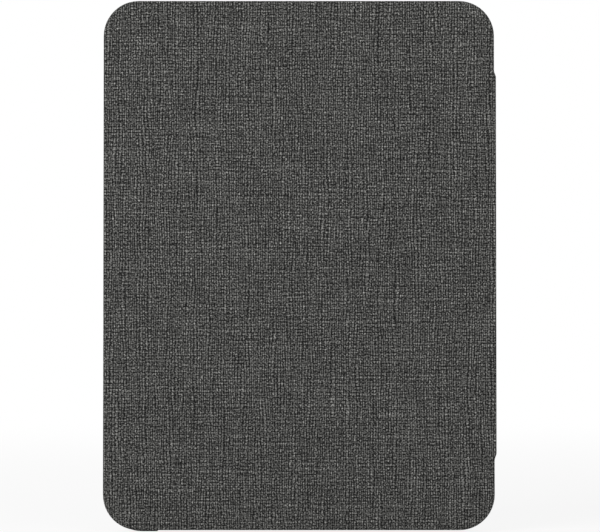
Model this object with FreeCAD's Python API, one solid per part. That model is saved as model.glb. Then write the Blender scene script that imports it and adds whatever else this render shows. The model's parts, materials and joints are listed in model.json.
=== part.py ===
import FreeCAD
import Part
import math
import os

Vector = FreeCAD.Vector

# Tablet that the case holds, and its fit in the bay
tablet_length = 248.6
tablet_width = 179.5
tablet_thickness = 7.0
tablet_corner = 14.0
tablet_fit = 0.3
tablet_depth_fit = 0.2

# Layers of the keyboard cover, from the outer face inwards
fabric_thickness = 0.6
board_thickness = 0.8
key_plate_thickness = 0.3
circuit_thickness = 0.2
dome_room = 1.7
deck_thickness = 1.0
rim_height = 1.0

# Layers of the tablet tray, from the cover to the back
closed_gap = 0.3
lip_thickness = 0.7
lip_overhang = 1.0
lining_thickness = 0.3
tray_back_thickness = 1.3
stand_gap = 0.2
stand_thickness = 2.4

# Tray walls and the cover's margin round them
tray_side_wall = 2.6
tray_dock_wall = 4.3
tray_end_wall = 2.9
tray_bevel = 1.0
cover_margin_left = 0.65
cover_corner = 17.0
cover_edge_bevel = 0.7
board_clearance = 0.15

# Corner bumpers that stand past the cover's ends
bumper_drop = 1.0
bumper_rise = 0.3
bumper_length = 25.7
bumper_reach = 30.0
bumper_corner = 18.0
bumper_step_radius = 0.8

# Spine strip and connector bar on the right long side
spine_length = 187.6
spine_taper = 3.4
spine_proud = 0.9
spine_core_thickness = 0.75
spine_side_gap = 0.3
spine_notch_gap = 0.5
fold_gap = 0.3
fold_offset = 0.5
bar_back_margin = 0.7
bar_overlap = 0.4
bar_face_gap = 0.1
dock_depth = 1.3
dock_gap = 0.3
ribbon_width = 20.0
ribbon_thickness = 0.15
ribbon_end_gap = 0.6

# Magnets and contacts
magnet_length = 20.0
magnet_height = 4.0
magnet_thickness = 1.0
dock_magnet_count = 4
dock_magnet_spacing = 44.0
closing_magnet_spacing = 110.0
cover_magnet_edge = 0.8
tray_magnet_edge = 1.0
contact_count = 3
contact_width = 1.6
contact_height = 2.0
contact_spacing = 4.0
contact_seat = 1.0
contact_slot_edge = 0.6

# Keys: rows run along the long side, letters read with the spine side up
row_units = 14.5
key_side_margin = 7.15
key_far_margin = 11.75
function_row_pitch = 9.6
key_gap = 2.6
arrow_gap = 1.6
key_clearance = 0.3
key_height = 1.5
key_proud = 0.9
key_corner = 1.8
key_draft = 0.3
full_rows = 5
function_keys_per_row = 14

# Rubber domes under the keys
dome_sheet_thickness = 0.2
dome_base_radius = 2.6
dome_top_radius = 1.4
dome_sides = 4
dome_clearance = 0.05

# Keyboard deck
deck_wall = 1.6
rim_inset = 0.4
rim_width = 3.2
rib_thickness = 1.2
indicator_width = 1.0
indicator_length = 2.6
indicator_offset = 4.0

# Trackpad
trackpad_length = 104.0
trackpad_gap = 6.0
trackpad_near_margin = 10.5
trackpad_corner = 3.0
trackpad_recess = 0.1
trackpad_board_thickness = 0.8
trackpad_flange = 1.5
trackpad_flange_gap = 0.1
trackpad_travel = 0.35
trackpad_switch_width = 5.0
trackpad_switch_gap = 0.05

# Controller board with its chips
controller_length = 60.0
controller_width = 5.5
controller_thickness = 0.8
controller_gap = 1.0
chip_count = 3
chip_spacing = 20.0
chip_length = 8.0
chip_edge = 0.8
chip_height = 0.7

# Back panel, camera window and kickstand
back_inset = 1.5
camera_window = 30.0
camera_corner = 9.0
camera_offset = 9.0
camera_ring_wall = 1.2
stand_axis_x = -2.0
stand_panel_gap = 2.6
stand_lining_thickness = 0.4
stand_fabric_start = 1.6
stand_notch_radius = 14.0
stand_notch_depth = 3.0

# Kickstand hinges
hinge_offset = 64.0
knuckle_length = 16.0
knuckle_gap = 0.3
knuckle_leg = 2.0
hinge_leaf_length = 34.0
hinge_leaf_width = 15.0
hinge_leaf_thickness = 0.8
hinge_leaf_gap = 0.05
pin_radius = 0.6
pin_reach = 12.0
pin_clearance = 0.05

# Openings in the tray's walls for buttons, speakers and the charging plug
button_slot_length = 24.0
button_slot_height = 4.6
volume_slot_start = 30.0
port_width = 13.0
port_height = 5.6
speaker_slot_count = 2
speaker_slot_length = 12.0
speaker_slot_height = 2.6
speaker_slot_pitch = 15.0
speaker_offset = 52.0
slot_corner = 0.8
panel_corner = 1.2

# Depths along y, from the cover's outer face to the back
bay_depth = tablet_thickness + tablet_depth_fit
keyboard_depth = (fabric_thickness + board_thickness + key_plate_thickness
                  + circuit_thickness + dome_room + deck_thickness + rim_height)
tray_depth = lip_thickness + bay_depth + lining_thickness + tray_back_thickness
case_depth = keyboard_depth + closed_gap + tray_depth + stand_gap + stand_thickness
y_face = -case_depth / 2
y_board = y_face + fabric_thickness
y_plate = y_board + board_thickness
y_circuit = y_plate + key_plate_thickness
y_domes = y_circuit + circuit_thickness
y_deck_under = y_domes + dome_room
y_deck = y_deck_under + deck_thickness
y_rim = y_deck + rim_height
y_lip = y_rim + closed_gap
y_bay = y_lip + lip_thickness
y_lining = y_bay + bay_depth
y_tray_back = y_lining + lining_thickness
y_back = y_tray_back + tray_back_thickness
y_stand = y_back + stand_gap
y_stand_plate = y_stand + stand_lining_thickness
y_outer = y_stand + stand_thickness
y_outer_fabric = y_outer - fabric_thickness
y_stand_axis = y_stand + stand_thickness / 2

# Places along x, from the free edge to the spine
bay_width = tablet_width + 2 * tablet_fit
cover_margin_right = spine_side_gap + spine_core_thickness + fabric_thickness - spine_proud
cover_width = cover_margin_left + tray_side_wall + bay_width + tray_dock_wall + cover_margin_right
x_left = -(cover_width + spine_proud) / 2
x_right = x_left + cover_width
x_spine = x_right + spine_proud
x_tray_left = x_left + cover_margin_left
x_bay_left = x_tray_left + tray_side_wall
x_bay_right = x_bay_left + bay_width
x_bay_mid = (x_bay_left + x_bay_right) / 2
x_tray_right = x_bay_right + tray_dock_wall
x_dock = x_tray_right - dock_depth
x_strip = x_tray_right + spine_side_gap
x_notch = x_strip - spine_notch_gap
x_bar = x_tray_right + bar_face_gap
x_spine_fabric = x_spine - fabric_thickness
x_keys_far = x_right - key_far_margin
x_stand_right = x_tray_right - back_inset

# Places along z, from the bumper that the case stands on
bay_length = tablet_length + 2 * tablet_fit
cover_length = bay_length + 2 * tray_end_wall
z_bottom = bumper_drop
z_top = z_bottom + cover_length
z_mid = (z_bottom + z_top) / 2
z_bay_low = z_bottom + tray_end_wall
z_bay_high = z_top - tray_end_wall
z_spine_low = z_mid - spine_length / 2
z_spine_high = z_mid + spine_length / 2

# Key grid
key_pitch = (cover_length - 2 * key_side_margin) / row_units
x_keys_near = x_keys_far - function_row_pitch - full_rows * key_pitch
y_key_top = y_deck + key_proud
y_key_low = y_key_top - key_height
x_pad_near = x_left + trackpad_near_margin
x_pad_far = x_keys_near - trackpad_gap
x_pad_mid = (x_pad_near + x_pad_far) / 2

# Spine strip and connector bar along y, either side of the fold line between them
y_fold = y_lip + fold_offset
y_strip_low = y_board + fold_gap
y_strip_high = y_fold - fold_gap
y_bar_low = y_fold + fold_gap
y_bar_high = y_back - bar_back_margin
y_dock_low = y_bar_low + bar_overlap
y_dock_high = y_bar_high - bar_overlap
y_dock_mid = (y_dock_low + y_dock_high) / 2


def rounded_wire(low, high, radii, place):
    """Four straight sides joined by one arc at each corner, put into space by place(u, v)."""
    corners = [(low[0], low[1]), (high[0], low[1]), (high[0], high[1]), (low[0], high[1])]
    directions = [(1, 0), (0, 1), (-1, 0), (0, -1)]
    inner_share = 1 - math.sqrt(0.5)
    starts = []
    middles = []
    ends = []
    for corner, radius, step, back in zip(corners, radii, directions, directions[-1:] + directions[:3]):
        starts.append((corner[0] - back[0] * radius, corner[1] - back[1] * radius))
        ends.append((corner[0] + step[0] * radius, corner[1] + step[1] * radius))
        inward = (step[0] - back[0], step[1] - back[1])
        share = radius * inner_share
        middles.append((corner[0] + inward[0] * share, corner[1] + inward[1] * share))
    edges = []
    for k in range(4):
        if radii[k] > 0:
            arc = Part.Arc(place(*starts[k]), place(*middles[k]), place(*ends[k]))
            edges.append(arc.toShape())
        following = starts[(k + 1) % 4]
        edges.append(Part.LineSegment(place(*ends[k]), place(*following)).toShape())
    return Part.Wire(edges)


def four(radius):
    """The same radius at all four corners, or the four that are given."""
    return radius if isinstance(radius, tuple) else (radius,) * 4


def slab(x0, x1, z0, z1, y0, y1, radius):
    """Flat panel with rounded corners, facing along y."""
    wire = rounded_wire((x0, z0), (x1, z1), four(radius), lambda u, v: Vector(u, y0, v))
    return Part.Face(wire).extrude(Vector(0, y1 - y0, 0))


def cut_corner_points(u0, u1, v0, v1, cut):
    """Rectangle whose corners are cut off at a slant."""
    return [(u0 + cut, v0), (u1 - cut, v0), (u1, v0 + cut), (u1, v1 - cut),
            (u1 - cut, v1), (u0 + cut, v1), (u0, v1 - cut), (u0, v0 + cut)]


def end_slot(x0, x1, y0, y1, z0, z1):
    """Slot that runs along z, through a short wall."""
    ring = [Vector(u, v, z0) for u, v in cut_corner_points(x0, x1, y0, y1, slot_corner)]
    return Part.Face(Part.makePolygon(ring + ring[:1])).extrude(Vector(0, 0, z1 - z0))


def side_slot(x0, x1, y0, y1, z0, z1):
    """Slot that runs along x, through a long wall."""
    ring = [Vector(x0, u, v) for u, v in cut_corner_points(y0, y1, z0, z1, slot_corner)]
    return Part.Face(Part.makePolygon(ring + ring[:1])).extrude(Vector(x1 - x0, 0, 0))


def block(x0, x1, y0, y1, z0, z1):
    """Plain rectangular block between two corners."""
    return Part.makeBox(x1 - x0, y1 - y0, z1 - z0, Vector(x0, y0, z0))


def rod(radius, x, y, z0, z1):
    """Round rod along z."""
    return Part.makeCylinder(radius, z1 - z0, Vector(x, y, z0), Vector(0, 0, 1))


def prismoid(rings):
    """Solid with flat faces between rings that have equally many points."""
    faces = []
    for ring in (rings[0], rings[-1]):
        faces.append(Part.Face(Part.makePolygon(ring + ring[:1])))
    for lower, upper in zip(rings, rings[1:]):
        for k in range(len(lower)):
            following = (k + 1) % len(lower)
            corners = [lower[k], lower[following], upper[following], upper[k], lower[k]]
            faces.append(Part.Face(Part.makePolygon(corners)))
    solid = Part.Solid(Part.Shell(faces))
    if solid.Volume < 0:
        solid.reverse()
    return solid


def centred_row(count, pitch, middle):
    """Places of equally spaced copies about a middle."""
    return [middle + (k - (count - 1) / 2) * pitch for k in range(count)]


# Keyboard cover

def cover_slab(inset, y0, y1):
    """Cover outline drawn in by an inset, with the notch that the spine strip lies in."""
    panel = slab(x_left + inset, x_right - inset, z_bottom + inset, z_top - inset, y0, y1,
                 cover_corner - inset)
    return panel.cut(spine_notch(inset, y0, y1))


def spine_notch(inset, y0, y1):
    """Room for the spine strip along the right edge."""
    reach = inset + spine_side_gap
    return block(x_notch - inset, x_spine, y0, y1, z_spine_low - reach, z_spine_high + reach)


def make_cover_fabric():
    """Outer fabric: the face and the edges turned round the board."""
    skin = slab(x_left, x_right, z_bottom, z_top, y_face, y_deck, cover_corner)
    rim_edges = [edge for edge in skin.Edges if edge.BoundBox.YMax < y_face + fabric_thickness / 2]
    skin = skin.makeChamfer(cover_edge_bevel, rim_edges)
    skin = skin.cut(spine_notch(0, y_board, y_deck))
    return skin.cut(cover_slab(fabric_thickness, y_board, y_deck))


def make_cover_board():
    """Stiff board behind the fabric."""
    return cover_slab(fabric_thickness + board_clearance, y_board, y_plate)


def key_field(y0, y1):
    """Panel under all key rows."""
    return block(x_keys_near, x_keys_far, y0, y1, z_bottom + key_side_margin, z_top - key_side_margin)


def dome(x, z):
    """Rubber dome as a many-sided cone with a flat top."""
    rings = []
    low = y_domes + dome_sheet_thickness
    for radius, y in ((dome_base_radius, low), (dome_top_radius, y_key_low - dome_clearance)):
        turns = [2 * math.pi * (k + 0.5) / dome_sides for k in range(dome_sides)]
        rings.append([Vector(x + radius * math.cos(t), y, z + radius * math.sin(t)) for t in turns])
    return prismoid(rings)


def make_rubber_domes(cells):
    """Dome sheet with one dome under each key."""
    sheet = key_field(y_domes, y_domes + dome_sheet_thickness)
    domes = [dome((x0 + x1) / 2, (z0 + z1) / 2) for _, x0, x1, z0, z1 in cells]
    return sheet.multiFuse(domes).removeSplitter()


def trackpad_panel(grow, y0, y1):
    """Trackpad outline, grown or drawn in."""
    return slab(x_pad_near - grow, x_pad_far + grow, z_mid - trackpad_length / 2 - grow,
                z_mid + trackpad_length / 2 + grow, y0, y1, trackpad_corner + grow)


def make_deck_frame(cells):
    """Top plate with a wall round its edge, one opening for each key, ribs and the trackpad's hole."""
    inset = fabric_thickness + board_clearance
    deck = cover_slab(inset, y_plate, y_deck)
    deck = deck.cut(cover_slab(inset + deck_wall, y_plate, y_deck_under))
    ribs = []
    for x in (x_keys_near - rib_thickness, x_keys_far):
        ribs.append(block(x, x + rib_thickness, y_plate, y_deck_under, z_bottom + key_side_margin,
                          z_top - key_side_margin))
    deck = deck.multiFuse(ribs).removeSplitter()
    openings = []
    for _, x0, x1, z0, z1 in cells:
        openings.append(block(x0 - key_clearance, x1 + key_clearance, y_deck_under, y_deck,
                              z0 - key_clearance, z1 + key_clearance))
    deck = deck.cut(Part.makeCompound(openings))
    deck = deck.cut(trackpad_panel(key_clearance, y_deck_under, y_deck))
    return deck.cut(make_indicator_light())


def make_deck_rim():
    """Soft raised rim that keeps the keys off the screen."""
    outer = cover_slab(rim_inset, y_deck, y_rim)
    inset = rim_inset + rim_width
    inner = slab(x_left + inset, x_notch - rim_width, z_bottom + inset, z_top - inset, y_deck, y_rim,
                 cover_corner - inset)
    return outer.cut(inner)


def make_indicator_light():
    """Light guide of the capitals lamp, set flush in the deck."""
    x0 = x_keys_far + indicator_offset
    z0 = z_bottom + key_side_margin + key_pitch
    return block(x0, x0 + indicator_width, y_deck_under, y_deck, z0, z0 + indicator_length)


def make_controller_board():
    """Circuit board in the far margin, with its chips."""
    x0 = x_keys_far + rib_thickness + controller_gap
    top = y_plate + controller_thickness
    board = block(x0, x0 + controller_width, y_plate, top,
                  z_mid - controller_length / 2, z_mid + controller_length / 2)
    chips = []
    for z in centred_row(chip_count, chip_spacing, z_mid):
        chips.append(block(x0 + chip_edge, x0 + controller_width - chip_edge, top, top + chip_height,
                           z - chip_length / 2, z + chip_length / 2))
    return board.multiFuse(chips).removeSplitter()


def closing_magnet_places():
    """Heights of the two closing magnets, in the cover and in the tray."""
    return (z_mid - closing_magnet_spacing / 2, z_mid + closing_magnet_spacing / 2)


def make_cover_magnets():
    """Closing magnets along the cover's free edge."""
    x0 = x_left + fabric_thickness + board_clearance + deck_wall + cover_magnet_edge
    magnets = []
    for z in closing_magnet_places():
        magnets.append(block(x0, x0 + magnet_height, y_plate, y_plate + magnet_thickness,
                             z - magnet_length / 2, z + magnet_length / 2))
    return Part.makeCompound(magnets)


# Trackpad

def make_trackpad_plate():
    """Touch surface, set a little below the deck."""
    return trackpad_panel(0, y_deck_under - trackpad_flange_gap, y_deck - trackpad_recess)


def make_trackpad_board():
    """Sensor board under the touch surface, wider than the hole in the deck."""
    top = y_deck_under - trackpad_flange_gap
    half = trackpad_length / 2 + trackpad_flange
    return block(x_pad_near - trackpad_flange, x_pad_far + trackpad_flange,
                 top - trackpad_board_thickness, top, z_mid - half, z_mid + half)


def make_trackpad_switch():
    """Click switch on the board under the middle of the trackpad."""
    top = (y_deck_under - trackpad_flange_gap - trackpad_board_thickness - trackpad_travel
           - trackpad_switch_gap)
    half = trackpad_switch_width / 2
    return block(x_pad_mid - half, x_pad_mid + half, y_plate, top, z_mid - half, z_mid + half)


# Keys

def key_rows():
    """Rows from the spine side to the near side: node of each key with its width in key units."""
    def plain(node, count):
        return [(node, 1)] * count
    function_unit = row_units / function_keys_per_row
    return [
        [("function_keys", function_unit)] * function_keys_per_row,
        plain("number_keys", 13) + [("backspace_key", 1.5)],
        [("tab_key", 1.5)] + plain("top_letter_keys", 13),
        [("caps_key", 1.75)] + plain("home_letter_keys", 11) + [("return_key", 1.75)],
        [("left_shift_key", 2.25)] + plain("bottom_letter_keys", 10) + [("right_shift_key", 2.25)],
        [("fn_key", 1), ("ctrl_key", 1), ("left_alt_key", 1), ("left_system_key", 1.25),
         ("space_bar", 5), ("right_system_key", 1.25), ("right_alt_key", 1), ("left_arrow_key", 1),
         ("up_and_down", 1), ("right_arrow_key", 1)],
    ]


def key_cells():
    """Outline of every key cap as node, x0, x1, z0, z1."""
    cells = []
    x_far = x_keys_far
    for number, row in enumerate(key_rows()):
        pitch = key_pitch if number else function_row_pitch
        z = z_bottom + key_side_margin
        x0 = x_far - pitch + key_gap / 2
        x1 = x_far - key_gap / 2
        for node, units in row:
            z0 = z + key_gap / 2
            z1 = z + units * key_pitch - key_gap / 2
            if node == "up_and_down":
                half = (x1 - x0 - arrow_gap) / 2
                cells.append(("up_arrow_key", x1 - half, x1, z0, z1))
                cells.append(("down_arrow_key", x0, x0 + half, z0, z1))
            else:
                cells.append((node, x0, x1, z0, z1))
            z += units * key_pitch
        x_far -= pitch
    return cells


def key_ring(x0, x1, z0, z1, inset, y):
    """Cap outline with each corner turned in two short sides."""
    radius = key_corner - inset
    points = []
    centres = [(x1 - key_corner, z1 - key_corner), (x0 + key_corner, z1 - key_corner),
               (x0 + key_corner, z0 + key_corner), (x1 - key_corner, z0 + key_corner)]
    for quarter, (cx, cz) in enumerate(centres):
        for step in range(3):
            turn = math.pi / 2 * (quarter + step / 2)
            points.append(Vector(cx + radius * math.cos(turn), y, cz + radius * math.sin(turn)))
    return points


def make_key_caps(cells):
    """Key caps that narrow towards their tops, gathered by node."""
    caps = {}
    for node, x0, x1, z0, z1 in cells:
        rings = [key_ring(x0, x1, z0, z1, 0, y_key_low),
                 key_ring(x0, x1, z0, z1, key_draft, y_key_top)]
        caps.setdefault(node, []).append(prismoid(rings))
    return {node: Part.makeCompound(solids) for node, solids in caps.items()}


# Spine strip and connector bar

def spine_prism(x0, y0, y1):
    """Bar along the spine whose outer face tapers away at both ends."""
    points = [(x0, z_spine_low), (x_right, z_spine_low), (x_spine, z_spine_low + spine_taper),
              (x_spine, z_spine_high - spine_taper), (x_right, z_spine_high), (x0, z_spine_high)]
    ring = [Vector(x, y0, z) for x, z in points]
    return Part.Face(Part.makePolygon(ring + ring[:1])).extrude(Vector(0, y1 - y0, 0))


def spine_filling(x0, y0, y1):
    """Stiff core inside the spine's fabric, clear of the tapered ends."""
    return block(x0, x_spine_fabric, y0, y1, z_spine_low + spine_taper, z_spine_high - spine_taper)


def make_spine_core():
    """Stiffener of the strip between the two folds."""
    return spine_filling(x_strip, y_strip_low, y_strip_high)


def make_spine_fabric():
    """Fabric of the strip between the two folds."""
    return spine_prism(x_strip, y_strip_low, y_strip_high).cut(make_spine_core())


def make_spine_ribbon():
    """Flat cable on the inside of the strip."""
    return block(x_strip - ribbon_thickness, x_strip, y_strip_low, y_strip_high - ribbon_end_gap,
                 z_mid - ribbon_width / 2, z_mid + ribbon_width / 2)


def dock_blocks(x0):
    """One magnet at each docking place, with the contacts between the middle ones."""
    magnets = []
    for z in centred_row(dock_magnet_count, dock_magnet_spacing, z_mid):
        magnets.append(block(x0, x0 + magnet_thickness, y_dock_mid - magnet_height / 2,
                             y_dock_mid + magnet_height / 2, z - magnet_length / 2, z + magnet_length / 2))
    return Part.makeCompound(magnets)


def make_connector_magnets():
    """Magnets in the inner face of the connector bar."""
    return dock_blocks(x_dock + bar_face_gap)


def make_contact_blades():
    """Spring contacts that reach the tablet through the tray's wall."""
    blades = []
    for z in centred_row(contact_count, contact_spacing, z_mid):
        blades.append(block(x_bay_right, x_dock + contact_seat, y_dock_mid - contact_height / 2,
                            y_dock_mid + contact_height / 2, z - contact_width / 2, z + contact_width / 2))
    return Part.makeCompound(blades)


def make_connector_core():
    """Bar that seats in the dock, with a flange that covers the dock's edges."""
    tongue = block(x_dock + bar_face_gap, x_bar, y_dock_low + dock_gap, y_dock_high - dock_gap,
                   z_spine_low + spine_taper, z_spine_high - spine_taper)
    flange = spine_filling(x_bar, y_bar_low, y_bar_high)
    core = tongue.fuse(flange).removeSplitter()
    core = core.cut(make_connector_magnets())
    return core.cut(make_contact_blades())


def make_connector_fabric():
    """Fabric over the outside of the connector bar."""
    skin = spine_prism(x_bar, y_bar_low, y_bar_high)
    return skin.cut(spine_filling(x_bar, y_bar_low, y_bar_high))


# Tablet tray

def bay_panel(grow, y0, y1):
    """Outline of the tablet bay, grown or drawn in."""
    return slab(x_bay_left - grow, x_bay_right + grow, z_bay_low - grow, z_bay_high + grow, y0, y1,
                tablet_corner + tablet_fit + grow)


def camera_cut(grow, y0, y1):
    """Camera window in the low corner of the free edge."""
    x0 = x_bay_left + camera_offset
    z0 = z_bay_low + camera_offset
    return slab(x0 - grow, x0 + camera_window + grow, z0 - grow, z0 + camera_window + grow, y0, y1,
                camera_corner + grow)


def camera_seat(y0, y1):
    """Square cut for the camera window's ring in the stiff plates, which the fabric and lining hide."""
    x0 = x_bay_left + camera_offset
    z0 = z_bay_low + camera_offset
    return block(x0, x0 + camera_window, y0, y1, z0, z0 + camera_window)


def make_dock_magnets():
    """Magnets in the tray's wall, level with the floor of the dock."""
    return dock_blocks(x_dock - magnet_thickness)


def make_tray_magnets():
    """Closing magnets in the tray's free long wall, level with the bay."""
    y0 = y_bay + tray_magnet_edge
    magnets = []
    for z in closing_magnet_places():
        magnets.append(block(x_bay_left - magnet_thickness, x_bay_left, y0, y0 + magnet_height,
                             z - magnet_length / 2, z + magnet_length / 2))
    return Part.makeCompound(magnets)


def wall_slots():
    """Openings for buttons, speakers and the charging plug."""
    y = (y_bay + y_lining) / 2
    button = (y - button_slot_height / 2, y + button_slot_height / 2)
    speaker = (y - speaker_slot_height / 2, y + speaker_slot_height / 2)
    bumper_end = x_tray_left + bumper_length
    slots = [end_slot(bumper_end, bumper_end + button_slot_length, *button, 0, z_bay_low),
             end_slot(x_bay_mid - port_width / 2, x_bay_mid + port_width / 2,
                      y - port_height / 2, y + port_height / 2, z_bay_high, z_top + bumper_rise),
             side_slot(x_tray_left, x_bay_left, *button, z_bay_low + volume_slot_start,
                       z_bay_low + volume_slot_start + button_slot_length)]
    for side in (-1, 1):
        for x in centred_row(speaker_slot_count, speaker_slot_pitch, x_bay_mid + side * speaker_offset):
            x0 = x - speaker_slot_length / 2
            slots.append(end_slot(x0, x0 + speaker_slot_length, *speaker, z_bay_high, z_top + bumper_rise))
            if side > 0:
                slots.append(end_slot(x0, x0 + speaker_slot_length, *speaker, 0, z_bay_low))
    return slots


def make_tray_frame():
    """Soft frame round the tablet: walls, front lip, corner bumpers, dock and wall openings."""
    frame = slab(x_tray_left, x_tray_right, z_bottom, z_top, y_lip, y_back, cover_corner)
    back_edges = [edge for edge in frame.Edges if edge.BoundBox.YMin > y_back - tray_bevel / 2]
    frame = frame.makeChamfer(tray_bevel, back_edges)
    y_bumper = y_back - tray_bevel
    low = slab(x_tray_left, x_tray_left + bumper_length, 0, z_bottom + bumper_reach, y_lip, y_bumper,
               (bumper_corner, bumper_step_radius, 0, 0))
    high = slab(x_tray_right - bumper_length, x_tray_right, z_top - bumper_reach, z_top + bumper_rise,
                y_lip, y_bumper, (0, 0, bumper_corner, bumper_rise))
    frame = frame.multiFuse([low, high]).removeSplitter()
    frame = frame.cut(bay_panel(-lip_overhang, y_lip, y_bay))
    frame = frame.cut(bay_panel(0, y_bay, y_tray_back))
    frame = frame.cut(bay_panel(lip_overhang, y_tray_back, y_back))
    dock = block(x_dock, x_tray_right, y_dock_low, y_dock_high,
                 z_spine_low + spine_taper - dock_gap, z_spine_high - spine_taper + dock_gap)
    half_height = contact_height / 2 + contact_slot_edge
    half_length = (contact_count - 1) / 2 * contact_spacing + contact_width / 2 + contact_slot_edge
    contacts = block(x_bay_right, x_dock, y_dock_mid - half_height, y_dock_mid + half_height,
                     z_mid - half_length, z_mid + half_length)
    frame = frame.cut(Part.makeCompound(wall_slots() + [dock, contacts]))
    return frame.cut(Part.makeCompound([make_dock_magnets(), make_tray_magnets()]))


def hinge_places():
    """Heights of the two kickstand hinges."""
    return (z_mid - hinge_offset, z_mid + hinge_offset)


def hinge_leaf(grow, z):
    """Leaf of a hinge, let into the tray's back."""
    half = hinge_leaf_length / 2
    return block(stand_axis_x - hinge_leaf_width - grow, stand_axis_x + knuckle_leg / 2 + grow,
                 y_back - hinge_leaf_thickness, y_back, z - half - grow, z + half + grow)


def make_tray_back():
    """Stiff back plate in a rebate of the frame, with the camera window and the hinges' seats."""
    plate = bay_panel(lip_overhang - board_clearance, y_tray_back, y_back)
    plate = plate.cut(camera_seat(y_tray_back, y_back))
    return plate.cut(Part.makeCompound([hinge_leaf(hinge_leaf_gap, z) for z in hinge_places()]))


def make_tray_lining():
    """Soft lining that the tablet's back lies on."""
    lining = bay_panel(-board_clearance, y_lining, y_tray_back)
    return lining.cut(camera_cut(0, y_lining, y_tray_back))


def back_slab(inset, y0, y1):
    """Fixed half of the back, on the free edge's side of the kickstand's hinge."""
    corner = cover_corner - back_inset - inset
    return slab(x_tray_left + back_inset + inset, stand_axis_x - stand_panel_gap - inset,
                z_bottom + back_inset + inset, z_top - back_inset - inset, y0, y1,
                (corner, panel_corner, panel_corner, corner))


def make_back_panel():
    """Board under the fabric of the back's fixed half."""
    panel = back_slab(fabric_thickness + board_clearance, y_back, y_outer_fabric)
    return panel.cut(camera_seat(y_back, y_outer_fabric))


def make_back_fabric():
    """Fabric over the back's fixed half, turned down at its edges."""
    skin = back_slab(0, y_back, y_outer)
    skin = skin.cut(back_slab(fabric_thickness, y_back, y_outer_fabric))
    return skin.cut(camera_cut(0, y_back, y_outer))


def make_camera_ring():
    """Hard ring that lines the camera window."""
    ring = camera_cut(0, y_lining, y_outer)
    return ring.cut(camera_cut(-camera_ring_wall, y_lining, y_outer))


# Kickstand

def make_hinge_brackets():
    """Fixed hinge halves: a leaf in the tray's back, a leg and a knuckle."""
    brackets = []
    for z in hinge_places():
        low = z - knuckle_length / 2
        high = z + knuckle_length / 2
        leg = block(stand_axis_x - knuckle_leg / 2, stand_axis_x + knuckle_leg / 2, y_back, y_stand_axis,
                    low, high)
        knuckle = rod(stand_thickness / 2, stand_axis_x, y_stand_axis, low, high)
        bracket = hinge_leaf(0, z).multiFuse([leg, knuckle]).removeSplitter()
        brackets.append(bracket.cut(rod(pin_radius, stand_axis_x, y_stand_axis, low, high)))
    return Part.makeCompound(brackets)


def hinge_rods(grow):
    """Hinge pins, or the holes that they turn in."""
    half = knuckle_length / 2 + pin_reach
    return [rod(pin_radius + grow, stand_axis_x, y_stand_axis, z - half - grow, z + half + grow)
            for z in hinge_places()]


def stand_slab(inset, x0, y0, y1):
    """Kickstand outline from a line beside the hinge to the spine side, drawn in by an inset."""
    corner = cover_corner - back_inset - inset
    return slab(x0, x_stand_right - inset, z_bottom + back_inset + inset, z_top - back_inset - inset,
                y0, y1, (0, corner, corner, 0))


def finger_notch(grow):
    """Shallow round notch in the kickstand's free edge."""
    x = x_stand_right - stand_notch_depth + stand_notch_radius
    return Part.makeCylinder(stand_notch_radius + grow, stand_thickness, Vector(x, y_stand, z_mid),
                             Vector(0, 1, 0))


def make_kickstand_plate():
    """Stiff plate with a round hinge edge, gaps for the fixed knuckles and holes for the pins."""
    inset = fabric_thickness + board_clearance
    plate = stand_slab(inset, stand_axis_x, y_stand_plate, y_outer_fabric)
    edge = rod(stand_thickness / 2, stand_axis_x, y_stand_axis, z_bottom + back_inset + inset,
               z_top - back_inset - inset)
    plate = plate.fuse(edge).removeSplitter()
    reach = stand_thickness / 2 + knuckle_gap
    half = knuckle_length / 2 + knuckle_gap
    gaps = [block(stand_axis_x - reach, stand_axis_x + reach, y_stand, y_outer, z - half, z + half)
            for z in hinge_places()]
    plate = plate.cut(Part.makeCompound(gaps))
    plate = plate.cut(Part.makeCompound(hinge_rods(pin_clearance)))
    return plate.cut(finger_notch(inset))


def make_kickstand_fabric():
    """Fabric over the kickstand's outside, turned in at its three free edges."""
    x0 = stand_axis_x + stand_fabric_start
    skin = stand_slab(0, x0, y_stand_plate, y_outer)
    skin = skin.cut(finger_notch(0))
    inner = stand_slab(fabric_thickness, x0, y_stand_plate, y_outer_fabric)
    return skin.cut(inner.cut(finger_notch(fabric_thickness)))


def make_kickstand_lining():
    """Lining on the kickstand's inside."""
    lining = stand_slab(fabric_thickness, stand_axis_x + stand_fabric_start, y_stand, y_stand_plate)
    return lining.cut(finger_notch(fabric_thickness))


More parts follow.
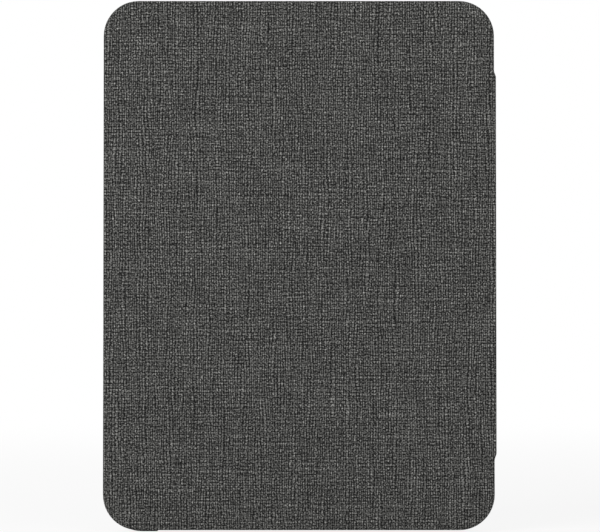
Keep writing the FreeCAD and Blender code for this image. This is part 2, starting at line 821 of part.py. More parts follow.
def make_parts():
    """Every piece of the case by its node's name."""
    cells = key_cells()
    parts = {
        "cover_fabric": make_cover_fabric(),
        "cover_board": make_cover_board(),
        "key_plate": key_field(y_plate, y_circuit),
        "key_circuit": key_field(y_circuit, y_domes),
        "rubber_domes": make_rubber_domes(cells),
        "deck_frame": make_deck_frame(cells),
        "deck_rim": make_deck_rim(),
        "indicator_light": make_indicator_light(),
        "controller_board": make_controller_board(),
        "cover_magnets": make_cover_magnets(),
        "trackpad_plate": make_trackpad_plate(),
        "trackpad_board": make_trackpad_board(),
        "trackpad_switch": make_trackpad_switch(),
        "spine_core": make_spine_core(),
        "spine_fabric": make_spine_fabric(),
        "spine_ribbon": make_spine_ribbon(),
        "connector_core": make_connector_core(),
        "connector_fabric": make_connector_fabric(),
        "connector_magnets": make_connector_magnets(),
        "contact_blades": make_contact_blades(),
        "tray_frame": make_tray_frame(),
        "tray_back": make_tray_back(),
        "tray_lining": make_tray_lining(),
        "tray_magnets": make_tray_magnets(),
        "dock_magnets": make_dock_magnets(),
        "back_panel": make_back_panel(),
        "back_fabric": make_back_fabric(),
        "camera_ring": make_camera_ring(),
        "hinge_brackets": make_hinge_brackets(),
        "hinge_pins": Part.makeCompound(hinge_rods(0)),
        "kickstand_plate": make_kickstand_plate(),
        "kickstand_fabric": make_kickstand_fabric(),
        "kickstand_lining": make_kickstand_lining(),
    }
    parts.update(make_key_caps(cells))
    return parts


os.makedirs("parts", exist_ok=True)
for name, shape in make_parts().items():
    shape.exportStep("parts/%s.step" % name)
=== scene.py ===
"""Dresses a tablet keyboard case: woven fabric, linings, key caps, domes, legends and plain finishes."""

import json
import math
from functools import cache, partial

import bpy
import numpy as np
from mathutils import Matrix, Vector


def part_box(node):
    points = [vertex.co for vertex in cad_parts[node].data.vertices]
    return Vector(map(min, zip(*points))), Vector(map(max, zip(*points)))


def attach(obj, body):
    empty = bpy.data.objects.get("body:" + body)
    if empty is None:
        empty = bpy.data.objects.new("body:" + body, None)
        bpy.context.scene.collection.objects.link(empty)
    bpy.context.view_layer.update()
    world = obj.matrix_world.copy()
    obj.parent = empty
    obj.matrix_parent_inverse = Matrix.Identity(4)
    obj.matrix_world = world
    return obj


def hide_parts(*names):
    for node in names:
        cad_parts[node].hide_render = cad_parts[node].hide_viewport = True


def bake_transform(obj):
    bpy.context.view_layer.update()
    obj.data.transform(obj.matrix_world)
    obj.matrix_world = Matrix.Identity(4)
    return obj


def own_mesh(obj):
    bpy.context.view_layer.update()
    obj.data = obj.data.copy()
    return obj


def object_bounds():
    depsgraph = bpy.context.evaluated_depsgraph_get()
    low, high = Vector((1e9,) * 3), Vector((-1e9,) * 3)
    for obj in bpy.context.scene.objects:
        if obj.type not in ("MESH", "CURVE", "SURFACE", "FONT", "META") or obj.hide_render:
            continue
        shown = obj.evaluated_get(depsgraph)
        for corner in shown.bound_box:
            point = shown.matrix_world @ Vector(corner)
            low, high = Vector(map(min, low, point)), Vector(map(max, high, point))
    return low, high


bl_info = {
    "name": "Tablet keyboard case",
    "version": (1, 0, 0),
    "blender": (4, 5, 0),
    "location": "3D View > Sidebar > Tablet case",
    "description": "Builds the fabric, keys, finishes and stage of a tablet keyboard case round its frame",
    "category": "Object",
}

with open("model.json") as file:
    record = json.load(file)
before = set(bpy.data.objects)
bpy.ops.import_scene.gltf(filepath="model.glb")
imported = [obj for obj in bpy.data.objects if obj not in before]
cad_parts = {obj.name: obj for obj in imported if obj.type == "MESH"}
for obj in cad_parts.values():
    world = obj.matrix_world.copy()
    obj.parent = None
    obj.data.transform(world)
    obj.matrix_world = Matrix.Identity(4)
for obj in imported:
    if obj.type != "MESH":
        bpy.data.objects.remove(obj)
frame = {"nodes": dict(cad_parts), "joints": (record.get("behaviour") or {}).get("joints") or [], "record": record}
CAD_LOW, CAD_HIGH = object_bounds()
MM = 0.001

# Points on each round corner and each straight side of an outline
CORNER_POINTS = 13
SIDE_POINTS = 6
SHARP_ANGLE = math.radians(38)

# Corner radius of the back's fabrics, and the width, depth and points of their rolled edge
BACK_CORNER = 15.5 * MM
BACK_ROLL = (1.1 * MM, 0.8 * MM, 6)

# Legends of each key node from left to right, one entry for each cap
LEGENDS = {
    "function_keys": ["esc"] + ["F%d" % number for number in range(1, 13)] + ["del"],
    "number_keys": ["~\n`", "!\n1", "@\n2", "#\n3", "$\n4", "%\n5", "^\n6", "&\n7", "*\n8", "(\n9", ")\n0",
                    "_\n-", "+\n="],
    "backspace_key": ["back"],
    "tab_key": ["tab"],
    "top_letter_keys": list("QWERTYUIOP") + ["{\n[", "}\n]", "|\n\\"],
    "caps_key": ["caps"],
    "home_letter_keys": list("ASDFGHJKL") + [":\n;", "\"\n'"],
    "return_key": ["enter"],
    "left_shift_key": ["shift"],
    "bottom_letter_keys": list("ZXCVBNM") + ["<\n,", ">\n.", "?\n/"],
    "right_shift_key": ["shift"],
    "fn_key": ["fn"],
    "ctrl_key": ["ctrl"],
    "left_alt_key": ["alt"],
    "left_system_key": ["sys"],
    "space_bar": [""],
    "right_system_key": ["sys"],
    "right_alt_key": ["alt"],
    "left_arrow_key": ["left"],
    "up_arrow_key": ["up"],
    "down_arrow_key": ["down"],
    "right_arrow_key": ["right"],
}
ARROW_TURNS = {"right": 0.0, "up": 0.5 * math.pi, "left": math.pi, "down": 1.5 * math.pi}


# Settings

def length_setting(name, description, millimetres):
    """Setting that is a length, with its default in millimetres."""
    return bpy.props.FloatProperty(
        name=name, description=description, default=millimetres * MM, unit="LENGTH", precision=5)


def number_setting(name, description, default):
    """Setting that is a plain number from nought up."""
    return bpy.props.FloatProperty(name=name, description=description, default=default, min=0.0, max=2.0)


def power_setting(name, description, watts):
    """Setting that is a lamp's power."""
    return bpy.props.FloatProperty(name=name, description=description, default=watts, unit="POWER")


def colour_setting(name, description, default):
    """Setting that is a colour in linear red, green and blue."""
    return bpy.props.FloatVectorProperty(
        name=name, description=description, default=default, min=0.0, max=1.0, subtype="COLOR")


class WeaveSettings(bpy.types.PropertyGroup):
    """Threads of the outer fabric."""
    warp_pitch: length_setting("Warp pitch", "Distance between upright threads", 1.18)
    weft_pitch: length_setting("Weft pitch", "Distance between level threads", 1.50)
    slub_length: length_setting("Slub length", "Length over which a thread changes its shade", 14.0)
    wander: length_setting("Wander", "How far threads drift from their even places in slow bends", 4.5)
    fray: length_setting("Fray", "How far threads stray from crossing to crossing", 0.6)
    tone: number_setting("Tone", "Middle brightness as the eye sees it, from black to white", 0.2745)
    red: number_setting("Red", "Red of the yarn as a share of its green", 1.004)
    blue: number_setting("Blue", "Blue of the yarn as a share of its green", 0.955)
    melange: number_setting("Melange", "How much the threads differ in shade", 0.277)
    fleck: number_setting("Fleck", "How much the crossings differ in shade", 0.046)
    fibre: number_setting("Fibre", "How much the fibres within a thread differ in shade", 0.78)
    # Painted shade: by this much the gaps between threads and the sides of each thread are painted darker and the
    # crowns painted lighter
    relief: number_setting("Painted shade", "How much darker the gaps are than the threads' crowns", 0.264)


class ColourSettings(bpy.types.PropertyGroup):
    """Colours of the plastics and metals, by slot."""
    soft_frame: colour_setting("Frame", "Soft frame of the tray and rim of the deck", (0.019, 0.019, 0.020))
    hard_back: colour_setting("Back", "Back plate of the tray and camera ring", (0.022, 0.022, 0.023))
    deck: colour_setting("Deck", "Plate round the keys", (0.034, 0.034, 0.036))
    key_plastic: colour_setting("Keys", "Caps of the keys", (0.017, 0.017, 0.018))
    touch_surface: colour_setting("Trackpad", "Plate of the trackpad", (0.040, 0.040, 0.042))
    indicator: colour_setting("Light", "Light guide of the capitals lamp", (0.55, 0.60, 0.55))
    dome_rubber: colour_setting("Domes", "Dome sheet under the keys", (0.50, 0.50, 0.48))
    stiff_board: colour_setting("Boards", "Boards and cores inside the fabric", (0.030, 0.030, 0.031))
    sheet_steel: colour_setting("Steel", "Key base plate, trackpad switch and hinge", (0.50, 0.50, 0.51))
    stand_metal: colour_setting("Kickstand", "Plate of the kickstand", (0.10, 0.10, 0.105))
    magnet: colour_setting("Magnets", "Plating of the magnets", (0.62, 0.60, 0.56))
    contact: colour_setting("Contacts", "Plating of the contacts", (0.80, 0.56, 0.20))


class ShapeSettings(bpy.types.PropertyGroup):
    """Forms of the soft pieces and the key caps."""
    crown_width: length_setting("Crown width", "Width of the edge that rolls off the cover's face", 4.4)
    crown_depth: length_setting("Crown depth", "Depth of the edge that rolls off the cover's face", 1.3)
    hem_reach: length_setting("Fold reach", "Width of the cover's face that the spine fabric takes", 2.9)
    fold_radius: length_setting("Fold radius", "Radius of the spine fabric round the cover's edge", 1.0)
    crease_depth: length_setting("Crease depth", "Depth of the crease between spine strip and connector", 0.3)
    key_gap: length_setting("Key gap", "Gap between neighbouring caps of a row", 2.6)
    cap_dish: length_setting("Cap dish", "Depth of the hollow in a cap's top", 0.08)
    letter_size: length_setting("Letter size", "Type size of the letter legends", 4.6)
    word_size: length_setting("Word size", "Type size of the word legends", 3.0)


class StageSettings(bpy.types.PropertyGroup):
    """Camera, lamps and sky."""
    camera_distance: length_setting("Camera distance", "Distance from the camera to the cover's face", 1000.0)
    camera_drop: length_setting("Camera drop", "How far the camera stands below the point it looks at", 19.0)
    view_width: length_setting("View width", "Width of the picture at the cover's face", 288.65)
    aim: bpy.props.FloatVectorProperty(
        name="Aim", description="Point on the cover's face in the middle of the picture, in x and z",
        size=2, default=(0.11 * MM, 127.95 * MM), unit="LENGTH", precision=5)
    key_power: power_setting("Key lamp", "Power of the large lamp at the front left", 29.5)
    fill_power: power_setting("Fill lamp", "Power of the lamp at the front right", 12.0)
    back_power: power_setting("Back lamp", "Power of the lamp behind the case", 14.5)
    sky: number_setting("Sky", "Strength of the even light from all round", 0.26)


# Shader maths

class Value:
    """A node's output that takes part in Python arithmetic: each operator adds one Math node."""

    def __init__(self, graph, socket):
        self.graph = graph
        self.socket = socket

    def __add__(self, other):
        return self.graph.math("ADD", self, other)

    def __sub__(self, other):
        return self.graph.math("SUBTRACT", self, other)

    def __mul__(self, other):
        return self.graph.math("MULTIPLY", self, other)

    def __truediv__(self, other):
        return self.graph.math("DIVIDE", self, other)

    def __pow__(self, other):
        return self.graph.math("POWER", self, other)

    def __gt__(self, other):
        return self.graph.math("GREATER_THAN", self, other)

    def __lt__(self, other):
        return self.graph.math("LESS_THAN", self, other)

    def __rsub__(self, other):
        return self.graph.math("SUBTRACT", other, self)

    def __rtruediv__(self, other):
        return self.graph.math("DIVIDE", other, self)

    def __rpow__(self, other):
        return self.graph.math("POWER", other, self)

    __radd__ = __add__
    __rmul__ = __mul__


class Graph:
    """Nodes of one material or world."""

    def __init__(self, tree):
        self.tree = tree
        self.tree.nodes.clear()

    def node(self, kind, settings=None, inputs=None, output=0):
        """Adds a node, sets its own settings first, then fills its sockets with values or links."""
        made = self.tree.nodes.new(kind)
        for name, setting in (settings or {}).items():
            setattr(made, name, setting)
        for key, value in (inputs or {}).items():
            if isinstance(value, Value):
                self.tree.links.new(value.socket, made.inputs[key])
            else:
                made.inputs[key].default_value = value
        return Value(self, made.outputs[output]) if made.outputs else made

    def math(self, operation, *values):
        """One Math node over one, two or three values."""
        return self.node("ShaderNodeMath", {"operation": operation}, dict(enumerate(values)))

    def place(self):
        """Place on the piece in metres, in the case's own frame."""
        return self.node("ShaderNodeTexCoord", output="Object")

    def join(self, x, y, z):
        """One vector from three numbers."""
        return self.node("ShaderNodeCombineXYZ", inputs={"X": x, "Y": y, "Z": z})

    def noise(self, vector, scale, detail=2.0):
        """Smooth random value about one half."""
        return self.node("ShaderNodeTexNoise", inputs={"Vector": vector, "Scale": scale, "Detail": detail})

    def colour(self, share, low, high):
        """Colour between two colours, by a share."""
        return self.node("ShaderNodeMix", {"data_type": "RGBA"}, {0: share, 6: low, 7: high}, output=2)

    def shades(self, share, colour, dark, light):
        """Colour between a darker and a lighter form of one colour, by a share."""
        ends = [tuple(min(1.0, part * factor) for part in colour) + (1.0,) for factor in (dark, light)]
        return self.colour(share, *ends)

    def rounded(self, radius):
        """Normal with the edges rounded by a radius."""
        return self.node("ShaderNodeBevel", {"samples": 6}, {"Radius": radius})

    def bump(self, height, depth, strength, normal=None):
        """Normal of a surface raised by a height."""
        inputs = {"Height": height, "Distance": depth, "Strength": strength}
        if normal:
            inputs["Normal"] = normal
        return self.node("ShaderNodeBump", inputs=inputs)

    def surface(self, **sockets):
        """Ends the material in one shader, whose sockets are named with underscores for spaces."""
        inputs = {name.replace("_", " "): value for name, value in sockets.items()}
        shader = self.node("ShaderNodeBsdfPrincipled", inputs=inputs)
        self.node("ShaderNodeOutputMaterial", inputs={"Surface": shader})


def new_graph(name):
    """A material with an empty graph."""
    material = bpy.data.materials.new(name)
    material.use_nodes = True
    return material, Graph(material.node_tree)


def grey(level):
    """Neutral colour of one linear brightness."""
    return (level, level, level, 1.0)


# Finishes

def linen_finish():
    """Plain weave of melange yarn. Threads lie in even rows that stray a little; at each crossing the warp
    is on top where the two thread numbers add up to an odd number. A thread's height is the cosine of
    the place across it, raised or sunk by the cosine of the place along it. Each thread has its own run of
    light and dark. Shade is painted into the colour: the gaps between threads and the sides of each thread
    are painted darker, and the crowns are painted lighter. Shades are worked out as the
    eye sees them and then raised to the display's power."""
    weave = bpy.context.scene.case_weave
    material, graph = new_graph("melange_linen")
    uv = graph.node("ShaderNodeUVMap", {"uv_map": "weave"})
    across = graph.node("ShaderNodeSeparateXYZ", inputs={0: uv}, output="X")
    along = graph.node("ShaderNodeSeparateXYZ", inputs={0: uv}, output="Y")

    def stray(rate_across, rate_along, start, amount):
        """Random shift of a thread by up to half an amount either way, at a rate along each axis."""
        return (graph.noise(graph.join(across * rate_across, along * rate_along, start), 1.0) - 0.5) * amount

    drift_across = stray(160.0, 22.0, 0.0, weave.wander)
    drift_along = stray(22.0, 160.0, 4.0, weave.wander)
    fray_across = stray(300.0, 900.0, 8.0, weave.fray)
    fray_along = stray(900.0, 300.0, 12.0, weave.fray)
    warp_place = (across + drift_across + fray_across) / weave.warp_pitch
    weft_place = (along + drift_along + fray_along) / weave.weft_pitch
    warp_number = graph.math("FLOOR", warp_place)
    weft_number = graph.math("FLOOR", weft_place)
    warp_round = graph.math("COSINE", (warp_place - warp_number - 0.5) * math.pi)
    weft_round = graph.math("COSINE", (weft_place - weft_number - 0.5) * math.pi)
    side = graph.math("PINGPONG", warp_number + weft_number, 1.0) * 2.0 - 1.0
    warp_height = warp_round * (side * weft_round * 0.5 + 0.5)
    weft_height = weft_round * (0.5 - side * warp_round * 0.5)
    warp_top = warp_height > weft_height
    height = graph.math("MAXIMUM", warp_height, weft_height)
    warp_step, weft_step = 13.7, 11.3
    warp_shade = graph.noise(graph.join(warp_number * warp_step, along / weave.slub_length, 0.5), 1.0)
    weft_shade = graph.noise(graph.join(across / weave.slub_length, weft_number * weft_step, 7.5), 1.0)
    yarn = weft_shade + warp_top * (warp_shade - weft_shade) - 0.5
    crossing = graph.node("ShaderNodeTexWhiteNoise", {"noise_dimensions": "2D"},
                          {"Vector": graph.join(warp_number, weft_number, 0.0)}, output="Value")
    fibres_per_metre = 1350.0
    fibre = graph.noise(graph.join(across, along, 0.0), fibres_per_metre, detail=0.0)
    flecks = (crossing - 0.5) * weave.fleck + (fibre - 0.5) * weave.fibre
    # Painted shade and highlight: gaps and thread sides painted darker, crowns painted lighter, about these middle
    # values
    mean_height, mean_round = 0.62, 0.64
    painted_gap_shade = (height - mean_height) * weave.relief + (warp_round - mean_round) * 0.5 * weave.relief
    seen = weave.tone + yarn * weave.melange + flecks + painted_gap_shade
    darkest, display_power = 0.05, 2.2
    level = graph.math("MAXIMUM", seen, darkest) ** display_power
    shade = graph.node("ShaderNodeCombineColor",
                       inputs={"Red": level * weave.red, "Green": level, "Blue": level * weave.blue})
    graph.surface(Base_Color=shade, Roughness=0.92, Normal=graph.bump(height, depth=0.22 * MM, strength=0.6),
                  Sheen_Weight=0.12, Sheen_Roughness=0.5, Specular_IOR_Level=0.15)
    return material


def suede_finish():
    """Brushed microfibre: short soft nap with faint lighter strokes."""
    material, graph = new_graph("brushed_microfibre")
    place = graph.place()
    nap = graph.noise(place, scale=1900.0, detail=3.0)
    stroke = graph.noise(place, scale=38.0, detail=4.0)
    shade = graph.colour(nap * 0.5 + stroke * 0.5, grey(0.020), grey(0.050))
    graph.surface(Base_Color=shade, Roughness=0.95, Normal=graph.bump(nap, depth=0.1 * MM, strength=0.7),
                  Sheen_Weight=0.35, Sheen_Roughness=0.4, Specular_IOR_Level=0.1)
    return material


def moulded_finish(slot, name, roughness, grain, edge):
    """Moulded plastic or rubber: fine spark grain, slightly uneven gloss and edges rounded by a radius."""
    colour = getattr(bpy.context.scene.case_colours, slot)
    material, graph = new_graph(name)
    place = graph.place()
    spark = graph.noise(place, scale=1.0 / grain)
    cloud = graph.noise(place, scale=45.0, detail=3.0)
    graph.surface(Base_Color=graph.shades(spark * 0.4 + cloud * 0.6, colour, dark=0.80, light=1.25),
                  Roughness=cloud * 0.16 + (roughness - 0.08),
                  Normal=graph.bump(spark, depth=0.02 * MM, strength=0.5, normal=graph.rounded(edge)))
    return material


def metal_finish(slot, name, roughness, stretch):
    """Rolled or plated metal: fine lines drawn out along one axis, and faint clouding."""
    colour = getattr(bpy.context.scene.case_colours, slot)
    material, graph = new_graph(name)
    stretched = graph.node("ShaderNodeMapping", inputs={"Vector": graph.place(), "Scale": stretch})
    lines = graph.noise(stretched, scale=1.0, detail=3.0)
    cloud = graph.noise(graph.place(), scale=70.0, detail=3.0)
    graph.surface(Base_Color=graph.shades(cloud, colour, dark=0.86, light=1.12), Metallic=1.0,
                  Roughness=lines * 0.14 + (roughness - 0.07),
                  Normal=graph.bump(lines, depth=0.01 * MM, strength=0.4, normal=graph.rounded(0.12 * MM)))
    return material


def circuit_finish():
    """Green circuit board: square copper runs under the lacquer."""
    material, graph = new_graph("lacquered_circuit")
    cells = graph.node("ShaderNodeTexVoronoi", {"distance": "MANHATTAN", "feature": "DISTANCE_TO_EDGE"},
                       {"Vector": graph.place(), "Scale": 420.0})
    run_share = 0.09
    run = cells < run_share
    graph.surface(Base_Color=graph.colour(run, (0.010, 0.060, 0.028, 1.0), (0.030, 0.150, 0.060, 1.0)),
                  Roughness=0.30, Normal=graph.bump(run, depth=0.03 * MM, strength=0.5))
    return material


def film_finish():
    """Amber polyester film with printed tracks."""
    material, graph = new_graph("amber_film")
    tracks = graph.node("ShaderNodeTexWave", {"wave_type": "BANDS", "bands_direction": "Z"},
                        {"Vector": graph.place(), "Scale": 160.0, "Distortion": 0.4})
    shade = graph.colour(tracks, (0.26, 0.12, 0.025, 1.0), (0.42, 0.21, 0.05, 1.0))
    graph.surface(Base_Color=shade, Roughness=0.25, Coat_Weight=0.3)
    return material


def ink_finish():
    """Pale printed legend with faint mottle."""
    material, graph = new_graph("pale_ink")
    mottle = graph.noise(graph.place(), scale=1500.0)
    graph.surface(Base_Color=graph.colour(mottle, grey(0.50), grey(0.66)), Roughness=mottle * 0.2 + 0.4)
    return material


# Moulded finish of each slot: name, roughness, grain and edge radius
MOULDED = {
    "stiff_board": ("stiff_board", 0.62, 0.50 * MM, 0.15 * MM),
    "soft_frame": ("matte_elastomer", 0.66, 0.35 * MM, 0.45 * MM),
    "hard_back": ("back_plastic", 0.46, 0.40 * MM, 0.25 * MM),
    "deck": ("deck_plastic", 0.52, 0.30 * MM, 0.25 * MM),
    "key_plastic": ("key_plastic", 0.48, 0.30 * MM, 0.05 * MM),
    "touch_surface": ("touch_surface", 0.30, 0.20 * MM, 0.20 * MM),
    "indicator": ("frosted_light", 0.35, 0.30 * MM, 0.10 * MM),
    "dome_rubber": ("dome_silicone", 0.55, 0.40 * MM, 0.20 * MM),
}

# Metal finish of each slot: name, roughness and the noise's scale along each axis
METALS = {
    "sheet_steel": ("rolled_steel", 0.36, (3000.0, 3000.0, 90.0)),
    "magnet": ("nickel_plate", 0.22, (900.0, 900.0, 900.0)),
    "contact": ("gold_plate", 0.24, (900.0, 900.0, 900.0)),
    "stand_metal": ("dark_anodised", 0.40, (3000.0, 3000.0, 60.0)),
}

OTHER_FINISHES = {
    "linen_fabric": linen_finish,
    "soft_lining": suede_finish,
    "circuit_board": circuit_finish,
    "membrane": film_finish,
    "ink": ink_finish,
}


@cache
def finish_for(slot):
    """The material of a slot, made once."""
    if slot in MOULDED:
        return moulded_finish(slot, *MOULDED[slot])
    if slot in METALS:
        return metal_finish(slot, *METALS[slot])
    return OTHER_FINISHES[slot]()


# Outlines and meshes

def arc(centre, radius, start, count):
    """Quarter circle: the centre plus the radius times cosine and sine of even steps from a start angle."""
    turn = np.radians(np.linspace(start, start + 90.0, count))
    return np.column_stack([centre[0] + radius * np.cos(turn), centre[1] + radius * np.sin(turn)])


def even_stops():
    """Even shares along a straight side, without its ends."""
    return np.linspace(0.0, 1.0, SIDE_POINTS + 2)[1:-1]


def rounded_outline(low, high, radii, inset=0.0, stops=None, count=CORNER_POINTS):
    """Closed outline in x and z: four quarter circles whose centres stay put while an inset shortens
    their radii, with straight sides divided at the given shares. Corners run from low left, anticlockwise."""
    stops = stops or [even_stops()] * 4
    places = [(low[0], low[1]), (high[0], low[1]), (high[0], high[1]), (low[0], high[1])]
    inward = [(1, 1), (-1, 1), (-1, -1), (1, -1)]
    turns = []
    for number, (corner, way, radius) in enumerate(zip(places, inward, radii)):
        reach = max(radius, inset + 0.05 * MM)
        centre = (corner[0] + way[0] * reach, corner[1] + way[1] * reach)
        turns.append(arc(centre, reach - inset, 180.0 + 90.0 * number, count))
    parts = []
    for number, turn in enumerate(turns):
        start, end = turn[-1], turns[(number + 1) % 4][0]
        parts += [turn, start + stops[number][:, None] * (end - start)]
    return np.concatenate(parts)


def in_space(flat, y):
    """Points of an outline in x and z, put at a depth y."""
    return np.column_stack([flat[:, 0], np.broadcast_to(y, len(flat)), flat[:, 1]])


def grid_faces(rows, columns, ends):
    """Quads of a grid whose columns close on themselves, and what closes its ends: one middle point
    each ("points"), one flat face each ("faces"), or the last row joined to the first ("ring")."""
    index = np.arange(rows * columns).reshape(rows, columns)
    if ends == "ring":
        index = np.concatenate([index, index[:1]])
    turned = np.roll(index, -1, axis=1)
    quads = np.stack([index[:-1], turned[:-1], turned[1:], index[1:]], axis=-1).reshape(-1, 4)
    faces = quads.tolist()
    if ends == "points":
        first = np.full(columns, rows * columns)
        fan = np.column_stack([turned[0], index[0], first])
        back = np.column_stack([index[-1], turned[-1], first + 1])
        faces += fan.tolist() + back.tolist()
    if ends == "faces":
        faces += [index[0][::-1].tolist(), index[-1].tolist()]
    return faces


def with_middles(points):
    """Grid points in one list, with the middle of the first and of the last row added."""
    flat = points.reshape(-1, points.shape[-1])
    return np.concatenate([flat, points[:1].mean(axis=1), points[-1:].mean(axis=1)])


def outward(points, faces):
    """The faces, turned over if the closed shape's volume comes out negative: the volume is a sixth of
    the sum of triple products of each face's fan of triangles."""
    volume = 0.0
    for size in {len(face) for face in faces}:
        corners = points[np.array([face for face in faces if len(face) == size])]
        for step in range(1, size - 1):
            sides = np.cross(corners[:, step], corners[:, step + 1])
            volume += (corners[:, 0] * sides).sum()
    return faces if volume > 0 else [face[::-1] for face in faces]


def new_piece(name, points, faces, slots, uv=None, face_slots=None):
    """Mesh object at the origin with its finishes, smooth but for sharp edges. UVs are given by point."""
    mesh = bpy.data.meshes.new(name)
    mesh.from_pydata(points, [], faces)
    for slot in slots:
        mesh.materials.append(finish_for(slot))
    if uv is not None:
        corner_points = np.empty(len(mesh.loops), dtype=np.int32)
        mesh.loops.foreach_get("vertex_index", corner_points)
        layer = mesh.uv_layers.new(name="weave")
        layer.data.foreach_set("uv", uv[corner_points].astype(np.float32).ravel())
    if face_slots is not None:
        mesh.polygons.foreach_set("material_index", face_slots.astype(np.int32))
    mesh.shade_smooth()
    mesh.set_sharp_from_angle(angle=SHARP_ANGLE)
    mesh.update()
    piece = bpy.data.objects.new(name, mesh)
    bpy.context.scene.collection.objects.link(piece)
    return piece


def closed_shape(rows, ends):
    """Points and outward faces of a closed shape over rows of points that run round it."""
    points = with_middles(rows) if ends == "points" else rows.reshape(-1, 3)
    return points, outward(points, grid_faces(*rows.shape[:2], ends))


def edge_profile(width, depth, count, side=None):
    """Quarter ellipse from a flat face to a straight side, as insets and depths: the inset is the width
    times one less the sine, and the depth is the full depth times one less the cosine, of even steps. Where
    a side's own depth is given, it goes on down to that."""
    turn = np.linspace(0.0, 0.5 * math.pi, count)
    insets = width * (1.0 - np.sin(turn))
    depths = depth * (1.0 - np.cos(turn))
    if side is None:
        return insets, depths
    return np.append(insets, 0.0), np.append(depths, side)


def run_lengths(first, second):
    """Length along a line of points from its first point on, from two coordinates."""
    return np.concatenate([[0.0], np.cumsum(np.hypot(np.diff(first), np.diff(second)))])


# Fabric skins

def skin_rows(outline, insets, depths, face, inward, back, hole=None):
    """Rows of a skin from the middle of its face, or from the edge of a hole, over its outer edge, down the
    side and back under the face. Insets and depths give the rolled edge; inward is plus one where depth
    grows with y. The UV runs on over the edge at the length along the profile, so the weave isn't
    stretched there."""
    edge = outline(insets[0])
    middle = edge.mean(axis=0) if hole is None else hole
    first_share = 0.3 if hole is None else 0.0
    next_share = 0.65
    rows, uv = [], []
    for share in (first_share, next_share):
        flat = middle + (edge - middle) * share
        rows.append(in_space(flat, face))
        uv.append(flat)
    for inset, depth, run in zip(insets, depths, run_lengths(insets, depths)):
        rows.append(in_space(outline(inset), face + inward * depth))
        uv.append(outline(insets[0] - run))
    for inset, depth in back:
        flat = outline(inset)
        rows.append(in_space(flat, face + inward * depth))
        uv.append(flat)
    flat = middle + (edge - middle) * first_share
    rows.append(in_space(flat, face + inward * back[-1][1]))
    uv.append(flat)
    return np.array(rows), np.array(uv)


def sheet_piece(name, slot, rows, uv_rows, node, body, ends="points"):
    """Skin that stands for a node and rides on a body. It is cut as large as the node's box and what is
    turned over the edges."""
    uv = with_middles(uv_rows) if ends == "points" else uv_rows.reshape(-1, 2)
    piece = new_piece(name, *closed_shape(rows, ends), [slot], uv)
    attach(piece, body)
    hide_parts(node)


def make_cover_skin():
    """Fabric of the keyboard cover: a rounded panel whose edge rolls off in a quarter ellipse and turns
    down the side. Along the spine the face stops short, drops by the fold fabric's thickness, and the side
    lies back in the notch."""
    shape = bpy.context.scene.case_shape
    low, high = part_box("cover_fabric")
    strip_low, strip_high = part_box("spine_fabric")
    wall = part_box("cover_board")[0].y - low.y
    depth = high.y - low.y
    corner = 17.0 * MM
    end_gap = 0.15 * MM
    step = 0.02 * MM
    drop = 0.3 * MM
    seam = high.x - shape.hem_reach
    wall_gap = 0.5 * MM
    notch_wall = strip_low.x - wall_gap
    notch = (strip_low.z - end_gap, strip_high.z + end_gap)
    straight = (low.z + corner, high.z - corner)
    ends = np.array([notch[0] - step, notch[0], notch[1], notch[1] + step])
    end_shares = (ends - straight[0]) / (straight[1] - straight[0])
    between = np.linspace(0.12, 0.88, 5)
    stops = [even_stops()] * 4
    stops[1] = np.sort(np.concatenate([end_shares, between]))
    outline = partial(rounded_outline, (low.x, low.z), (high.x, high.z), (corner,) * 4, stops=stops)
    insets, depths = edge_profile(shape.crown_width, shape.crown_depth, count=9, side=depth)
    rows, uv = skin_rows(outline, insets, depths, low.y, 1, [(wall, depth), (wall, wall)])
    x, z = uv[2].T
    in_notch = (x > 0.0) & (z > notch[0] - step / 2) & (z < notch[1] + step / 2)
    side_rows = len(insets)
    rows[2:2 + side_rows, in_notch, 0] = np.minimum(rows[2:2 + side_rows, in_notch, 0], seam)
    rows[2:2 + side_rows, in_notch, 1] = low.y
    rows[side_rows - 1, in_notch, 1] = low.y + drop
    rows[side_rows, in_notch, 0] = notch_wall
    rows[side_rows, in_notch, 1] = low.y + drop
    rows[side_rows + 1, in_notch, 0] = notch_wall
    rows[side_rows + 1, in_notch, 1] = high.y
    rows[side_rows + 2:side_rows + 4, in_notch, 0] = notch_wall - wall
    sheet_piece("cover_skin", "linen_fabric", rows, uv, "cover_fabric", "keyboard")


def sleeve_piece(name, sections, heights, uv, lining_columns):
    """Sleeve whose closed section changes along the height: rows are heights, columns go round the section,
    and a flat face closes each end. Columns from one number up to another are the lining."""
    rows = np.array([np.column_stack([section[:, 0], section[:, 1], np.full(len(section), height)])
                     for section, height in zip(sections, heights)])
    points, faces = closed_shape(rows, "faces")
    slots = np.zeros(len(faces))
    quad_column = np.arange(len(faces) - 2) % rows.shape[1]
    slots[:-2] = (quad_column >= lining_columns[0]) & (quad_column < lining_columns[1])
    return new_piece(name, points, faces, ["linen_fabric", "soft_lining"], uv.reshape(-1, 2), slots)


def spine_heights(low, high, taper):
    """Heights of the sleeve's sections: close together over the tapered ends, wide apart between."""
    end = np.linspace(0.0, taper, 9)
    return np.concatenate([low + end, np.linspace(low + taper, high - taper, 12)[1:-1], high - end[::-1]])


def spine_reach(heights, low, high, taper, edge, outer):
    """How far out the sleeve stands at each height: it swells from the cover's edge to its full
    width over the taper, along a smooth step."""
    share = np.clip(np.minimum(heights - low, high - heights) / taper, 0.0, 1.0)
    return edge + (outer - edge) * share * share * (3.0 - 2.0 * share)


